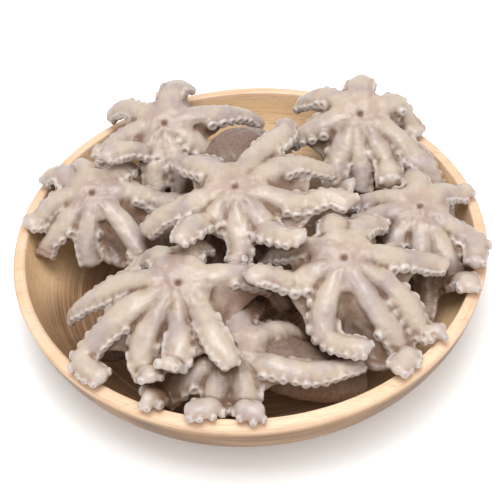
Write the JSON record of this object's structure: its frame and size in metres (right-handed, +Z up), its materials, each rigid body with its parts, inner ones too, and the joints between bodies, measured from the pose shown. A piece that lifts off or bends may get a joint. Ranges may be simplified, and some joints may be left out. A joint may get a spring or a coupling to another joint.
{
  "type": "plate of baby octopus",
  "caption": "Round shallow wooden plate heaped with cooked baby octopuses whose arms drape over one another and over the rim's inside.",
  "frame": {"origin": "centre of the plate's foot, on the surface it stands on", "axes": "+Z up, -Y towards the front of the plate, +X to the right"},
  "size_m": [0.2, 0.2, 0.0757],
  "materials": {
    "plate_wood": "turned pale hardwood, satin",
    "octopus_skin": "wet cooked octopus flesh, glossy"
  },
  "bodies": {
    "root": {"plate": "plate_wood", "octopus_under": "octopus_skin", "octopus_front": "octopus_skin", "octopus_left": "octopus_skin", "octopus_right": "octopus_skin", "octopus_back_left": "octopus_skin", "octopus_back_right": "octopus_skin", "octopus_front_left": "octopus_skin", "octopus_front_right": "octopus_skin", "octopus_top": "octopus_skin"}
  },
  "joints": []
}
